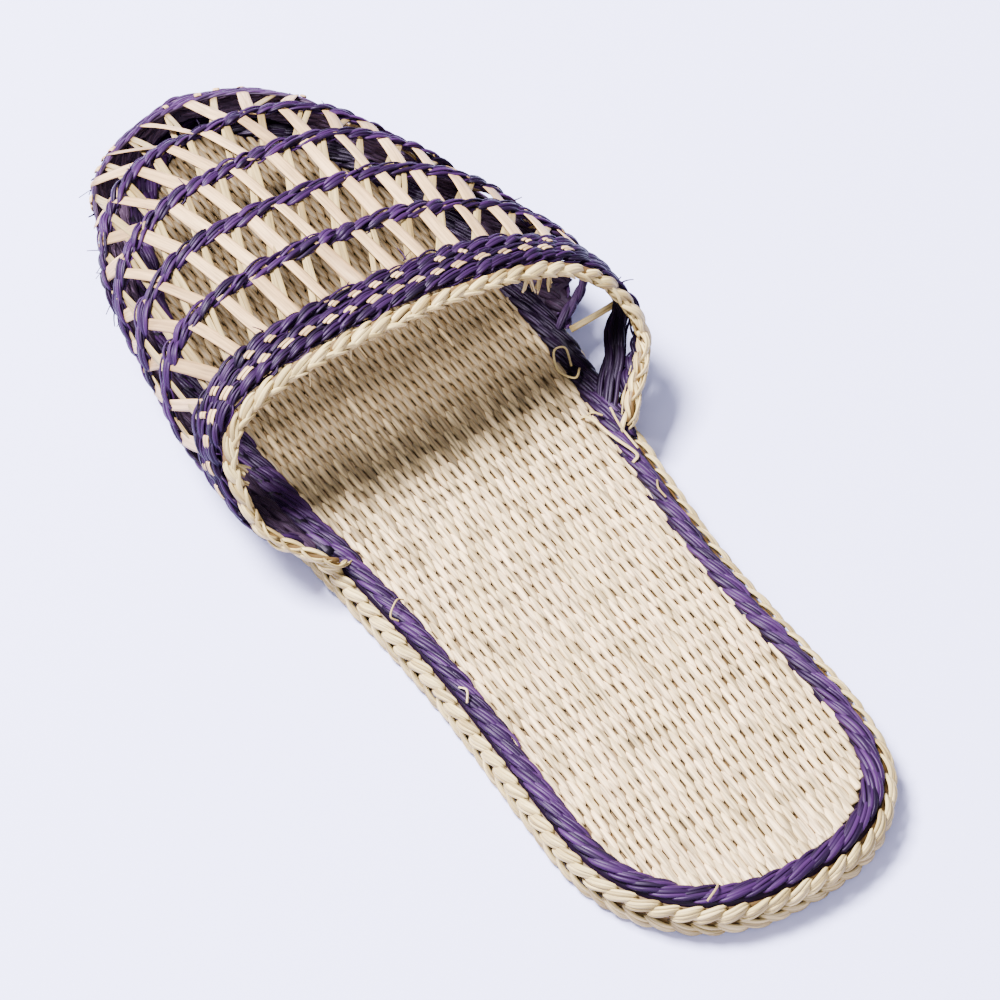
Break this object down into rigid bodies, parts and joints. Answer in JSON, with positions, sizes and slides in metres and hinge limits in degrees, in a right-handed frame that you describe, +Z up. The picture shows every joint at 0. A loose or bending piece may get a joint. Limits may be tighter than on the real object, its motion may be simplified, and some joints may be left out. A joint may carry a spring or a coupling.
{
  "type": "straw slide sandal",
  "caption": "Backless straw sandal with a flat plaited sole and a hollow openwork upper crossed by twined purple bands, open at the heel.",
  "frame": {"origin": "on the underside of the sole, below the centre of the heel's round", "axes": "+X from heel to toe along the sole, +Y to the wearer's left, +Z up"},
  "size_m": [0.2691, 0.1103, 0.0454],
  "materials": {
    "straw": "dry matte plaited straw",
    "shaded_straw": "dry matte plaited straw, a little darker",
    "purple_straw": "dyed straw with a soft sheen"
  },
  "bodies": {
    "root": {"outsole": "shaded_straw", "insole": "straw", "insole_border": "purple_straw", "side_braid_lower": "straw", "side_braid_upper": "straw", "upper": "straw", "toe_cap": "purple_straw", "collar_band": "purple_straw", "cross_band_1": "purple_straw", "cross_band_2": "purple_straw", "cross_band_3": "purple_straw", "cross_band_4": "purple_straw", "collar_braid": "straw"}
  },
  "joints": []
}
